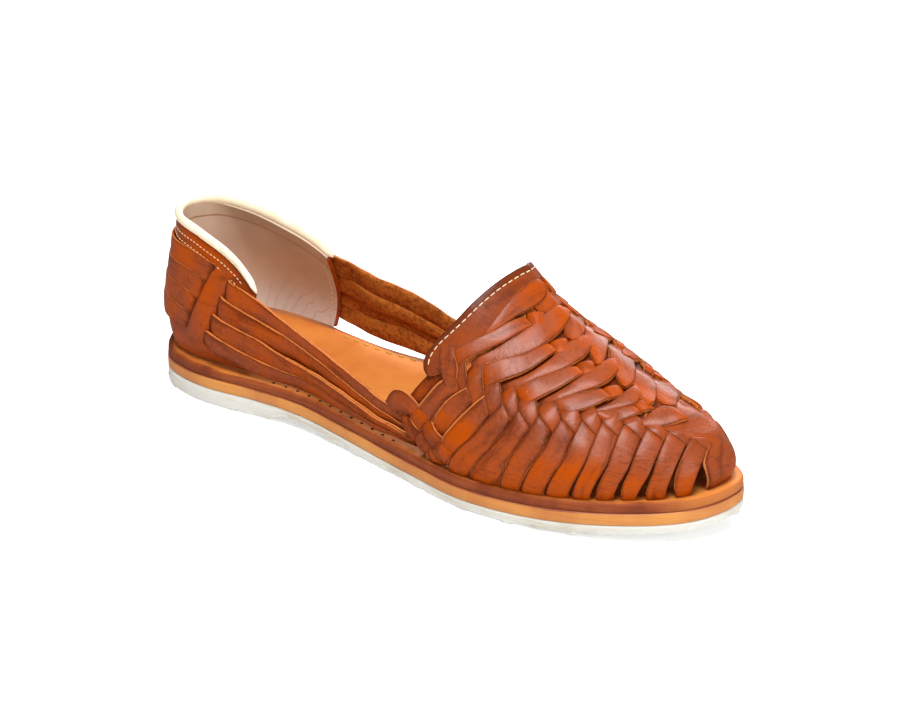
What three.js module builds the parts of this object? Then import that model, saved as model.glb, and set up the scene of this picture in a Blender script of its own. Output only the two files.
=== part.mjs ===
// A woven leather slip-on (huarache) for the right foot, as separate solids in millimetres.
// X runs from heel to toe, Y from the outer side of the foot to its inner side, Z up from the ground.
// Heights and widths are given at stations: "at" is a fraction of the length, 0 heel and 1 toe.
import * as THREE from "three";
import { mergeVertices } from "three/addons/utils/BufferGeometryUtils.js";

// ---- Driving dimensions

const LENGTH = 246.8;
const GAP = 0.3; // clearance between pieces that lie against each other
const HEEL_RUBBER = 6.7; // outsole under the heel, with its low heel lift
const BALL_RUBBER = 3.7; // outsole under the waist and the ball
const TOE_SPRING = 5.0; // rise of the outsole at the toe tip
const MIDSOLE = 4.0;
const INSOLE = 3.3;
const WEAVE_WALL = 2.4; // two straps lapped
const STRAP_WALL = 1.8;
const CUP_WALL = 2.2; // heel cup leather with its lining
const BINDING_RADIUS = 1.7;
const BAND_WIDTH = 14; // smooth band round the throat, along the length
const TREAD_BEVEL = 1.0;
const MIDSOLE_INSET = 0.1;
const INSOLE_INSET = 0.4;

// Stations where the sole changes: where the heel lift ends, and the flat under the ball.
const HEEL_BREAST = { from: 0.26, to: 0.3 };
const RUBBER_TAPER = { from: 0.24, to: 0.583 };
const BALL_FLAT_END = 0.646;

// Half widths of the outsole either side of the line from heel to toe.
const outline = [
  { at: 0.0, outer: 0, inner: 0 },
  { at: 0.05, outer: 25.5, inner: 25.1 },
  { at: 0.1, outer: 30.8, inner: 29.9 },
  { at: 0.16, outer: 32.3, inner: 30.4 },
  { at: 0.25, outer: 29.9, inner: 26.4 },
  { at: 0.33, outer: 29.3, inner: 24.9 },
  { at: 0.41, outer: 31.8, inner: 27.4 },
  { at: 0.56, outer: 38.3, inner: 36.0 },
  { at: 0.665, outer: 42.8, inner: 43.2 },
  { at: 0.79, outer: 39.4, inner: 38.4 },
  { at: 0.905, outer: 28.4, inner: 23.8 },
  { at: 0.973, outer: 15.8, inner: 14.8 },
  { at: 1.0, outer: -2.5, inner: 2.5 },
];

// The last. Each row gives how far the upper's foot stands in from the sole's edge, the point on
// the ridge that its wall climbs to, how full (full) and how tent-like (tent) the wall's curve is,
// and how much it swells out above the sole, up to which height. Behind the throat the ridge is the
// line of the leg, which the walls only lean towards.
const last = [
  { at: 0.0, outer: 1.8, inner: 1.8, x: -2, y: 0, z: 95, full: 1.9, tent: 1.0, swell: 3.0, to: 46 },
  { at: 0.05, outer: 2.2, inner: 2.4, x: 5, y: 0, z: 95, full: 1.9, tent: 1.0, swell: 2.8, to: 46 },
  { at: 0.1, outer: 2.8, inner: 2.2, x: 22, y: 0, z: 95, full: 1.9, tent: 1.0, swell: 2.4, to: 46 },
  { at: 0.16, outer: 4.0, inner: 1.8, x: 44, y: 0, z: 95, full: 1.9, tent: 1.0, swell: 2.0, to: 44 },
  { at: 0.25, outer: 2.8, inner: -0.8, x: 68, y: 0, z: 96, full: 2.0, tent: 1.15, swell: 1.6, to: 42 },
  { at: 0.33, outer: 4.2, inner: 2.2, x: 86, y: 0, z: 96, full: 2.1, tent: 1.3, swell: 1.6, to: 40 },
  { at: 0.42, outer: 3.2, inner: 4.0, x: 108, y: 2, z: 96, full: 2.1, tent: 1.3, swell: 1.6, to: 36 },
  { at: 0.565, outer: 3.6, inner: 4.0, x: 142, y: 6, z: 87, full: 1.95, tent: 1.2, swell: 2.4, to: 30 },
  { at: 0.668, outer: 3.4, inner: 3.6, x: 166, y: 8, z: 62.5, full: 2.0, tent: 1.3, swell: 2.6, to: 28 },
  { at: 0.792, outer: 3.4, inner: 3.6, x: 192, y: 7, z: 49.3, full: 2.1, tent: 1.5, swell: 2.4, to: 26 },
  { at: 0.906, outer: 4.6, inner: 4.6, x: 212, y: 5, z: 41.6, full: 2.1, tent: 1.7, swell: 2.0, to: 20 },
  { at: 1.0, outer: 5.4, inner: 5.4, x: 223, y: 4, z: 38.5, full: 2.2, tent: 1.9, swell: 1.6, to: 16 },
];

// Height of the quarter straps' top edge, and of their bottom edge on either side.
const quarters = [
  { at: 0.0, bottom: 20.5, top: 57, innerBottom: 20.5, innerTop: 57 },
  { at: 0.07, bottom: 20.8, top: 56.5, innerBottom: 20.8, innerTop: 56.5 },
  { at: 0.14, bottom: 21.4, top: 53.5, innerBottom: 21.4, innerTop: 53.5 },
  { at: 0.18, bottom: 18.6, top: 51.0, innerBottom: 20.6, innerTop: 50.0 },
  { at: 0.23, bottom: 15.0, top: 47.2, innerBottom: 18.8, innerTop: 47.0 },
  { at: 0.3, bottom: 13.0, top: 39.4, innerBottom: 18.0, innerTop: 44.2 },
  { at: 0.37, bottom: 12.0, top: 32.4, innerBottom: 16.2, innerTop: 40.2 },
  { at: 0.42, bottom: 12.0, top: 28.6, innerBottom: 13.0, innerTop: 37.2 },
  { at: 0.48, bottom: 12.0, top: 25.4, innerBottom: 12.0, innerTop: 31.8 },
  { at: 0.52, bottom: 12.0, top: 24.6, innerBottom: 12.0, innerTop: 29.2 },
];
// Height of the heel cup's top edge, and how far forward its front edge stands at each height.
const collar = [
  { at: 0.0, z: 62 },
  { at: 0.04, z: 61.8 },
  { at: 0.1, z: 59.6 },
  { at: 0.175, z: 53.4 },
  { at: 0.21, z: 48.6 },
  { at: 0.235, z: 43.5 },
];
const cupFront = [
  { at: 14, x: 55.5 },
  { at: 30, x: 57.0 },
  { at: 46, x: 55.0 },
];

// The rear edge of the vamp: its distance from the heel at each height, up to the top of the throat.
const throat = [
  { at: 25, x: 126 },
  { at: 34, x: 135 },
  { at: 40, x: 138.5 },
  { at: 50, x: 142 },
  { at: 60, x: 148 },
  { at: 72, x: 158 },
];
const STRAPS_END = 0.513; // station where the quarter straps run into the weave
const BAND_FOOT = 40; // height of the throat band's lower ends

// ---- Curves and sections

// A smooth curve through rows of a table, from its "at" column to the named one.
function curveThrough(rows, column) {
  const slope = (i) => {
    const before = rows[Math.max(i - 1, 0)];
    const after = rows[Math.min(i + 1, rows.length - 1)];
    return (after[column] - before[column]) / (after.at - before.at);
  };
  return (at) => {
    let i = 0;
    while (i < rows.length - 2 && at > rows[i + 1].at) {
      i += 1;
    }
    const step = rows[i + 1].at - rows[i].at;
    const u = THREE.MathUtils.clamp((at - rows[i].at) / step, 0, 1);
    const start = rows[i][column] * (1 + 2 * u) * (1 - u) ** 2;
    const end = rows[i + 1][column] * (3 - 2 * u) * u ** 2;
    const slopes = step * u * (1 - u) * (slope(i) * (1 - u) - slope(i + 1) * u);
    return start + end + slopes;
  };
}

// Round the outline, t runs from 0 at the back of the heel, along the outer side to 0.5 at the toe,
// and back along the inner side to 1. Its angle spaces the stations closely at both ends.
const TURN = 2 * Math.PI;
const stationOf = (t) => (1 - Math.cos(TURN * t)) / 2;
const roundOf = (at) => Math.acos(1 - 2 * at) / TURN;

const outerKnots = outline.map((row) => ({ at: roundOf(row.at), y: -row.outer }));
const innerKnots = outline.slice(1, -1).reverse().map((row) => ({ at: 1 - roundOf(row.at), y: row.inner }));
const knots = [...outerKnots, ...innerKnots];
const widthOf = curveThrough([
  ...knots.slice(-2).map((knot) => ({ at: knot.at - 1, y: knot.y })),
  ...knots,
  ...knots.slice(0, 3).map((knot) => ({ at: knot.at + 1, y: knot.y })),
], "y");

const wrap = (t) => t - Math.floor(t);

function outlinePoint(t) {
  return new THREE.Vector2(LENGTH * stationOf(t), widthOf(wrap(t)));
}

function inwardOf(t) {
  const step = 0.002;
  const along = outlinePoint(t + step).sub(outlinePoint(t - step)).normalize();
  return new THREE.Vector2(-along.y, along.x);
}

const { smoothstep, lerp, clamp } = THREE.MathUtils;

function rubberTop(at) {
  const spring = TOE_SPRING * Math.max(0, (at - BALL_FLAT_END) / (1 - BALL_FLAT_END)) ** 2;
  return lerp(HEEL_RUBBER, BALL_RUBBER, smoothstep(at, RUBBER_TAPER.from, RUBBER_TAPER.to)) + spring;
}

function rubberBottom(at) {
  return (rubberTop(at) - BALL_RUBBER) * smoothstep(at, HEEL_BREAST.from, HEEL_BREAST.to);
}

const midsoleBottom = (at) => rubberTop(at) + GAP;
const midsoleTop = (at) => midsoleBottom(at) + MIDSOLE;
const insoleBottom = (at) => midsoleTop(at) + GAP;
const insoleTop = (at) => insoleBottom(at) + INSOLE;
const footHeight = (at) => insoleTop(at) + GAP;

const lastCurve = {};
for (const column of ["outer", "inner", "x", "y", "z", "full", "tent", "swell", "to"]) {
  lastCurve[column] = curveThrough(last, column);
}

// A point on the outside of the last: rise is 0 at the sole and 1 on the ridge.
function lastPoint(t, rise) {
  const at = stationOf(t);
  const margin = wrap(t) < 0.5 ? lastCurve.outer(at) : lastCurve.inner(at);
  const inward = inwardOf(t);
  const foot = outlinePoint(t).addScaledVector(inward, margin);
  const ridge = new THREE.Vector2(lastCurve.x(at), lastCurve.y(at));
  const angle = (rise * Math.PI) / 2;
  const climb = Math.sin(angle) ** (2 / lastCurve.full(at));
  const lean = 1 - Math.max(0, Math.cos(angle)) ** (2 / lastCurve.tent(at));
  const height = (lastCurve.z(at) - footHeight(at)) * climb;
  const swellStep = Math.min(1, height / lastCurve.to(at));
  const swell = lastCurve.swell(at) * 6.75 * swellStep * (1 - swellStep) ** 2;
  const plan = foot.lerp(ridge, lean).addScaledVector(inward, -swell);
  return new THREE.Vector3(plan.x, plan.y, footHeight(at) + height);
}

function riseOf(t, z) {
  const at = stationOf(t);
  const climb = clamp((z - footHeight(at)) / (lastCurve.z(at) - footHeight(at)), 0, 1);
  return (Math.asin(climb ** (lastCurve.full(at) / 2)) * 2) / Math.PI;
}

function lastNormal(t, rise) {
  const step = 0.003;
  const low = Math.max(rise - step, 0);
  const high = Math.min(rise + step, 1);
  const round = lastPoint(t + step, rise).sub(lastPoint(t - step, rise));
  const up = lastPoint(t, high).sub(lastPoint(t, low));
  return round.cross(up).normalize();
}

// A point a depth below the last's outside. On the ridge both sides share the mean direction.
function underLast(t, rise, depth) {
  const normal = lastNormal(t, Math.min(rise, 0.99));
  if (rise > 0.999) {
    normal.add(lastNormal(1 - t, 0.99)).normalize();
  }
  const point = lastPoint(t, rise).addScaledVector(normal, -depth);
  point.z = Math.max(point.z, footHeight(stationOf(t)));
  return point;
}

// The place round the outline where the last, at this rise, is x(z) from the heel.
function roundAt(rise, side, x) {
  let near = 0.12;
  let far = 0.5;
  for (let i = 0; i < 30; i += 1) {
    const middle = (near + far) / 2;
    const point = lastPoint(side === "outer" ? middle : 1 - middle, rise);
    if (point.x < x(point.z)) {
      near = middle;
    } else {
      far = middle;
    }
  }
  return side === "outer" ? near : 1 - near;
}

// ---- Making closed solids

// Gathers faces into one closed body, leaving out any that have shrunk to a line.
class Skin {
  constructor() {
    this.corners = [];
  }

  triangle(a, b, c) {
    const area = new THREE.Vector3().subVectors(b, a).cross(new THREE.Vector3().subVectors(c, a)).length();
    if (area > 1e-5) {
      this.corners.push(...a.toArray(), ...b.toArray(), ...c.toArray());
    }
  }

  quad(a, b, c, d) {
    this.triangle(a, b, c);
    this.triangle(a, c, d);
  }

  geometry() {
    const soup = new THREE.BufferGeometry();
    soup.setAttribute("position", new THREE.Float32BufferAttribute(this.corners, 3));
    const merged = mergeVertices(soup, 1e-3);
    merged.computeVertexNormals();
    return merged;
  }
}

// A layer of the sole: rings of points from its underside to its top, closed by rungs across.
function soleLayer(rings, columns = 96) {
  const skin = new Skin();
  const ringPoint = (ring, i) => {
    const t = i / columns;
    const plan = outlinePoint(t).addScaledVector(inwardOf(t), ring.inset);
    return new THREE.Vector3(plan.x, plan.y, ring.height(stationOf(t)));
  };
  for (let r = 0; r < rings.length - 1; r += 1) {
    for (let i = 0; i < columns; i += 1) {
      const low = rings[r];
      const high = rings[r + 1];
      skin.quad(
        ringPoint(low, i),
        ringPoint(low, (i + 1) % columns),
        ringPoint(high, (i + 1) % columns),
        ringPoint(high, i),
      );
    }
  }
  const top = rings[rings.length - 1];
  const bottom = rings[0];
  for (let i = 0; i < columns / 2; i += 1) {
    const here = (columns - i) % columns;
    const next = columns - i - 1;
    const upperCorners = [i, i + 1, next, here].map((k) => ringPoint(top, k));
    const lowerCorners = [i + 1, i, here, next].map((k) => ringPoint(bottom, k));
    skin.quad(...upperCorners);
    skin.quad(...lowerCorners);
  }
  return skin.geometry();
}

// A leather sheet as one solid: an outer and an inner face over a grid of cells, with an edge
// wherever a filled cell has no neighbour. point(i, j, inner) gives a corner of the grid.
function sheet({ columns, rows, filled, point }) {
  const skin = new Skin();
  for (let i = 0; i < columns; i += 1) {
    for (let j = 0; j < rows; j += 1) {
      if (!filled(i, j)) {
        continue;
      }
      const corner = (right, up) => [point(i + right, j + up, false), point(i + right, j + up, true)];
      const [a, a2] = corner(0, 0);
      const [b, b2] = corner(1, 0);
      const [c, c2] = corner(1, 1);
      const [d, d2] = corner(0, 1);
      skin.quad(a, b, c, d);
      skin.quad(a2, d2, c2, b2);
      if (!filled(i, j - 1)) {
        skin.quad(a, a2, b2, b);
      }
      if (!filled(i, j + 1)) {
        skin.quad(d, c, c2, d2);
      }
      if (!filled(i - 1, j)) {
        skin.quad(a, d, d2, a2);
      }
      if (!filled(i + 1, j)) {
        skin.quad(b, b2, c2, c);
      }
    }
  }
  return skin.geometry();
}

function piece(name, geometry, color, roughness) {
  const mesh = new THREE.Mesh(geometry, new THREE.MeshStandardMaterial({ color, roughness, metalness: 0 }));
  mesh.name = name;
  return mesh;
}

// ---- The sole: cream rubber outsole with a low heel, honey leather midsole, dyed leather insole

function makeOutsole() {
  return soleLayer([
    { inset: TREAD_BEVEL, height: rubberBottom },
    { inset: 0, height: (at) => rubberBottom(at) + TREAD_BEVEL },
    { inset: 0, height: rubberTop },
  ]);
}

function makeMidsole() {
  return soleLayer([
    { inset: MIDSOLE_INSET, height: midsoleBottom },
    { inset: MIDSOLE_INSET, height: midsoleTop },
  ]);
}

function makeInsole() {
  return soleLayer([
    { inset: INSOLE_INSET, height: insoleBottom },
    { inset: INSOLE_INSET, height: insoleTop },
  ]);
}

// ---- The upper: woven vamp, quarter straps and the heel wrap, one wall

const throatX = curveThrough(throat, "x");
const quarterTop = {
  outer: curveThrough(quarters, "top"),
  inner: curveThrough(quarters, "innerTop"),
};
const quarterBottom = {
  outer: curveThrough(quarters, "bottom"),
  inner: curveThrough(quarters, "innerBottom"),
};
const STRAP_ROWS = 5;
const UPPER_COLUMNS = 120;
const strapsEnd = Math.round(roundOf(STRAPS_END) * UPPER_COLUMNS);
const strapsEndRound = strapsEnd / UPPER_COLUMNS;
const valleyRise = riseOf(strapsEndRound, quarterTop.outer(STRAPS_END));
const innerValleyRise = riseOf(strapsEndRound, quarterTop.inner(STRAPS_END));
const bandFootRise = riseOf(roundOf(0.563), BAND_FOOT);
const SPAN_ROWS = 9; // rows of the weave above the band's lower ends
const spanRises = Array.from({ length: SPAN_ROWS }, (_, j) => lerp(bandFootRise, 1, (j + 1) / SPAN_ROWS));
const weaveRises = [lerp(innerValleyRise, bandFootRise, 0.5), bandFootRise, ...spanRises];
const BAND_COLUMNS = 2; // columns of the grid that the band stands in
const vampStart = strapsEnd;
const vampEnd = UPPER_COLUMNS - strapsEnd;

// The grid's columns over the vamp: the first and last few keep room for the band.
function weaveRound(i, rise) {
  const beside = (columns) => (z) => throatX(z) + ((BAND_WIDTH + 2 * GAP) * columns) / BAND_COLUMNS;
  if (i <= vampStart + BAND_COLUMNS) {
    return roundAt(rise, "outer", beside(i - vampStart));
  }
  if (i >= vampEnd - BAND_COLUMNS) {
    return roundAt(rise, "inner", beside(vampEnd - i));
  }
  const from = roundAt(rise, "outer", beside(BAND_COLUMNS));
  const to = roundAt(rise, "inner", beside(BAND_COLUMNS));
  return lerp(from, to, (i - vampStart - BAND_COLUMNS) / (vampEnd - vampStart - 2 * BAND_COLUMNS));
}

// Corners of the upper's grid: the lower rows run right round the foot, the upper rows only from
// the throat forward, where column i and its mirror meet on the ridge.
function makeUpper() {
  const places = new Map();
  const strapPlace = (i, j) => {
    const t = i / UPPER_COLUMNS;
    const at = stationOf(t);
    if (i >= vampStart && i <= vampEnd) {
      const top = lerp(valleyRise, innerValleyRise, (i - vampStart) / (vampEnd - vampStart));
      return { t, rise: (top * j) / STRAP_ROWS };
    }
    const side = t < 0.5 ? "outer" : "inner";
    const bottom = Math.max(quarterBottom[side](at), footHeight(at));
    return { t, rise: lerp(riseOf(t, bottom), riseOf(t, quarterTop[side](at)), j / STRAP_ROWS) };
  };
  const weavePlace = (i, j) => {
    const rise = weaveRises[j - STRAP_ROWS - 1];
    return { t: weaveRound(i, rise), rise };
  };
  const place = (i, j) => {
    const key = `${i} ${j}`;
    if (!places.has(key)) {
      const { t, rise } = j > STRAP_ROWS ? weavePlace(i, j) : strapPlace(i, j);
      const weave = smoothstep(stationOf(t), STRAPS_END - 0.06, STRAPS_END + 0.02);
      const wall = lerp(STRAP_WALL, WEAVE_WALL, weave);
      places.set(key, [underLast(t, rise, 0), underLast(t, rise, wall)]);
    }
    return places.get(key);
  };
  const rows = STRAP_ROWS + weaveRises.length;
  const bandRow = STRAP_ROWS + 2;
  const filled = (i, j) => {
    if (j < STRAP_ROWS) {
      return j >= 0;
    }
    const room = j < bandRow ? 0 : BAND_COLUMNS;
    return i >= vampStart + room && i < vampEnd - room;
  };
  const point = (i, j, inner) => place(i % UPPER_COLUMNS, j)[inner ? 1 : 0].clone();
  return sheet({ columns: UPPER_COLUMNS, rows, filled, point });
}

// ---- The throat band: a smooth strip over the instep, butted to the weave's rear edge

function makeThroatBand() {
  const columns = 3;
  const half = SPAN_ROWS;
  const rises = [bandFootRise + 0.006, ...spanRises];
  const point = (i, j, inner) => {
    const side = j <= half ? "outer" : "inner";
    const rise = rises[half - Math.abs(j - half)];
    const rear = roundAt(rise, side, throatX);
    const front = roundAt(rise, side, (z) => throatX(z) + BAND_WIDTH);
    return underLast(lerp(rear, front, i / columns), rise, inner ? WEAVE_WALL : 0);
  };
  const filled = (i, j) => i >= 0 && i < columns && j >= 0 && j < 2 * half;
  return sheet({ columns, rows: 2 * half, filled, point });
}

// ---- The heel cup: leather with its lining, inside the straps, with a rolled binding on its top

const collarTop = curveThrough(collar, "z");
const cupFrontX = curveThrough(cupFront, "x");
const CUP_DEPTH = STRAP_WALL + GAP;

function cupEdge(rise, side) {
  return roundAt(rise, side, cupFrontX);
}

function makeHeelCup() {
  const columns = 48;
  const rows = 9;
  const point = (i, j, inner) => {
    const side = i > columns / 2 ? "inner" : "outer";
    const share = 1 - Math.abs(i - columns / 2) / (columns / 2);
    let t = 0.1;
    let rise = 0;
    for (let k = 0; k < 12; k += 1) {
      rise = (riseOf(t, collarTop(stationOf(t))) * j) / rows;
      const edge = cupEdge(rise, side);
      t = side === "outer" ? edge * (1 - share) : 1 - (1 - edge) * (1 - share);
    }
    return underLast(t, rise, inner ? CUP_DEPTH + CUP_WALL : CUP_DEPTH);
  };
  const turned = (i, j, inner) => point(columns - i, j, inner);
  const filled = (i, j) => i >= 0 && i < columns && j >= 0 && j < rows;
  return sheet({ columns, rows, filled, point: turned });
}

const BINDING_DEPTH = CUP_DEPTH + BINDING_RADIUS + 0.4;
const BINDING_LIFT = BINDING_RADIUS + 1.0; // from the cup's sloping top to the bead's middle

function makeBinding() {
  const steps = 44;
  const end = roundOf(0.22);
  const middle = [];
  for (let k = 0; k <= steps; k += 1) {
    const t = wrap(lerp(-end, end, k / steps));
    const point = underLast(t, riseOf(t, collarTop(stationOf(t))), BINDING_DEPTH);
    point.z = collarTop(stationOf(t)) + BINDING_LIFT;
    middle.push(point);
  }
  const section = new THREE.Shape();
  section.absarc(0, 0, BINDING_RADIUS, 0, TURN, false);
  const bead = new THREE.ExtrudeGeometry(section, {
    steps,
    curveSegments: 5,
    extrudePath: new THREE.CatmullRomCurve3(middle),
  });
  bead.deleteAttribute("normal");
  bead.deleteAttribute("uv");
  const merged = mergeVertices(bead, 1e-3);
  merged.computeVertexNormals();
  return merged;
}

// ---- The whole shoe, its origin under the middle of its sole

const shoe = new THREE.Group();
shoe.add(piece("outsole", makeOutsole(), 0xebe8e1, 0.75));
shoe.add(piece("midsole", makeMidsole(), 0xd79646, 0.5));
shoe.add(piece("insole", makeInsole(), 0xeba05f, 0.65));
shoe.add(piece("upper", makeUpper(), 0xb05a2a, 0.35));
shoe.add(piece("throat_band", makeThroatBand(), 0xa85530, 0.35));
shoe.add(piece("heel_cup", makeHeelCup(), 0xb05426, 0.4));
shoe.add(piece("collar_binding", makeBinding(), 0xeedebe, 0.5));

const box = new THREE.Box3().setFromObject(shoe);
shoe.position.set(-(box.min.x + box.max.x) / 2, -(box.min.y + box.max.y) / 2, 0);

export default shoe;
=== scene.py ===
import math

import bmesh
import bpy
import numpy as np
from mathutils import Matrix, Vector


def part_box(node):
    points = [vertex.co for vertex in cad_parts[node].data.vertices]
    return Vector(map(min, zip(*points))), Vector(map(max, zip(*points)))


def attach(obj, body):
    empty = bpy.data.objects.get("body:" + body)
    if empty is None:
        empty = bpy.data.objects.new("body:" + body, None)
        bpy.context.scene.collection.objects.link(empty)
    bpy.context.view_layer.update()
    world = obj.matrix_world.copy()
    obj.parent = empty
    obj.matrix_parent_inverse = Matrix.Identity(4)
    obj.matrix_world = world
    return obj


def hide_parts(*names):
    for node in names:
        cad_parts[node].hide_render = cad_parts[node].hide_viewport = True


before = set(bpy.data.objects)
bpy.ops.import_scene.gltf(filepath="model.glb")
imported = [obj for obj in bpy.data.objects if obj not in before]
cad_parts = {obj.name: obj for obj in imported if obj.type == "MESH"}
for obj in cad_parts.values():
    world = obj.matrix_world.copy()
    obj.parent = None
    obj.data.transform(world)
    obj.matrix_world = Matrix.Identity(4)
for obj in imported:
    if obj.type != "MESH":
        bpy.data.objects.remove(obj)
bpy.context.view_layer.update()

# ---- Outsole
# Cream crepe rubber, cut from a sheet with a low heel lift left on it and its edge ground to the
# outline after gluing. The grinding leaves small burrs along the bottom edge.

LENGTH = 246.8  # shapes are in millimetres up to add_sheet and add_stitch, and materials in metres
TURN = 2 * math.pi


def curve(at, value):
    """A smooth curve through values at rising places, constant beyond both ends."""
    at = np.asarray(at, float)
    value = np.asarray(value, float)
    last_one = len(at) - 1
    before = np.maximum(np.arange(last_one + 1) - 1, 0)
    after = np.minimum(np.arange(last_one + 1) + 1, last_one)
    slope = (value[after] - value[before]) / (at[after] - at[before])

    def read(place):
        place = np.asarray(place, float)
        i = np.clip(np.searchsorted(at, place, side="left") - 1, 0, last_one - 1)
        step = at[i + 1] - at[i]
        u = np.clip((place - at[i]) / step, 0, 1)
        start = value[i] * (1 + 2 * u) * (1 - u) ** 2
        end = value[i + 1] * (3 - 2 * u) * u**2
        return start + end + step * u * (1 - u) * (slope[i] * (1 - u) - slope[i + 1] * u)

    return read


def smooth(value, low, high):
    """0 below low, 1 above high, eased between."""
    u = np.clip((np.asarray(value, float) - low) / (high - low), 0, 1)
    return u * u * (3 - 2 * u)


def station(t):
    """Share of the length from heel to toe, for t from 0 at the heel, 0.5 at the toe, to 1."""
    return (1 - np.cos(TURN * t)) / 2


def round_of(at):
    """The t of a station on the outer side. On the inner side it is 1 less this, or minus this."""
    return np.arccos(1 - 2 * np.asarray(at, float)) / TURN


# Half widths by station, on the outer side, where y is negative, and the inner.
outline_outer = {
    0: 0, 0.05: 25.5, 0.1: 30.8, 0.16: 32.3, 0.25: 29.9, 0.33: 29.3, 0.41: 31.8,
    0.56: 38.3, 0.665: 42.8, 0.79: 39.4, 0.905: 28.4, 0.973: 15.8, 1: -2.5,
}
outline_inner = {
    0.05: 25.1, 0.1: 29.9, 0.16: 30.4, 0.25: 26.4, 0.33: 24.9, 0.41: 27.4,
    0.56: 36, 0.665: 43.2, 0.79: 38.4, 0.905: 23.8, 0.973: 14.8,
}
# The outline all the way round, as t and y, with a few points again past its start and its end.
knots = [(float(round_of(at)), -half) for at, half in outline_outer.items()]
knots += [(1 - float(round_of(at)), half) for at, half in reversed(outline_inner.items())]
knots = [(t - 1, y) for t, y in knots[-2:]] + knots + [(t + 1, y) for t, y in knots[:3]]
half_width = curve([t for t, y in knots], [y for t, y in knots])


def plan(t):
    """A point of the outline, x from the heel."""
    return np.stack([LENGTH * station(t), half_width(t - np.floor(t))], -1)


def unit(vectors):
    return vectors / np.linalg.norm(vectors, axis=-1, keepdims=True)


def inward(t):
    """Unit direction from the outline into the shoe."""
    along = unit(plan(t + 0.002) - plan(t - 0.002))
    return np.stack([-along[..., 1], along[..., 0]], -1)


HEEL_LIFT = 3.0
SHEET = 3.7  # the crepe's thickness in front of the heel lift
BALL = 0.646  # station from which the toe springs up


def rubber_top(at):
    spring = 5.0 * np.maximum(0, (at - BALL) / (1 - BALL)) ** 2
    return SHEET + HEEL_LIFT - HEEL_LIFT * smooth(at, 0.24, 0.583) + spring


def rubber_bottom(at):
    return (rubber_top(at) - SHEET) * smooth(at, 0.26, 0.3)


def rubber_middle(at):
    return (rubber_bottom(at) + rubber_top(at)) / 2


# Where the heel's end stands in the frame.
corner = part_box("outsole")[0]
widest = half_width(np.linspace(0, 1, 2001)).min()
HEEL = np.array([corner.x * 1000, corner.y * 1000 - widest, 0])


def add_sheet(mesh, points, **named):
    """A grid bent to an array of points, row by row, with its named values on the vertices."""
    rows, columns = points.shape[:2]
    homes = []
    for name, values in named.items():
        layers = mesh.verts.layers
        kinds = layers.float_vector if np.ndim(values) == 3 else layers.float
        if name not in kinds:
            kinds.new(name)
        homes.append((kinds, name, np.asarray(values, float).reshape(rows * columns, -1)))
    made = bmesh.ops.create_grid(mesh, x_segments=columns - 1, y_segments=rows - 1, size=1)
    verts = made["verts"]
    for vert, place in zip(verts, ((points + HEEL) / 1000).reshape(-1, 3)):
        vert.co = place
    for kinds, name, values in homes:
        layer = kinds[name]
        for vert, value in zip(verts, values):
            vert[layer] = value if len(value) == 3 else float(value[0])


def add_object(name, data):
    made = bpy.data.objects.new(name, data)
    bpy.context.scene.collection.objects.link(made)
    return made


def finish_mesh(mesh, name, materials, sharp=50):
    """Welds and closes a mesh, turns its faces outwards and makes it a piece on the shoe."""
    bmesh.ops.remove_doubles(mesh, verts=mesh.verts, dist=2e-6)
    open_edges = [edge for edge in mesh.edges if edge.is_boundary]
    bmesh.ops.holes_fill(mesh, edges=open_edges, sides=0)
    bmesh.ops.recalc_face_normals(mesh, faces=mesh.faces)
    data = bpy.data.meshes.new(name)
    mesh.to_mesh(data)
    mesh.free()
    data.shade_smooth()
    data.set_sharp_from_angle(angle=math.radians(sharp))
    for material in materials:
        data.materials.append(material)
    piece = add_object(name, data)
    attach(piece, "root")
    return piece


def sole_layer(mesh, rings, burrs=()):
    """A closed layer. Each ring has how far it has closed to the middle, its inset, the surface it
    lies on and how far above it. Burrs pair a ring's number with the size of its burrs."""
    steps = 241
    t = np.linspace(0, 1, steps)
    at = station(t)
    chance = np.random.default_rng(4)
    ragged = chance.normal(0, 1, steps) * (chance.random(steps) < 0.3)
    ragged[-1] = ragged[0]
    points = []
    rim = []
    for number, (closed, inset, surface, above) in enumerate(rings):
        burr = dict(burrs).get(number, 0)
        edge = plan(t) + inward(t) * (inset - burr * np.abs(ragged))[:, None]
        middle = (edge + edge[::-1]) / 2
        place = edge + (middle - edge) * closed
        level = np.maximum(surface(at) + above + burr * ragged * 0.6, 0)
        points.append(np.concatenate([place, level[:, None]], -1))
        shown = 0.0 if closed >= 0.05 else 1.0 if inset < 1.2 else 0.5
        rim.append(np.full(steps, shown))
    add_sheet(mesh, np.array(points), rim=np.array(rim))


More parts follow.
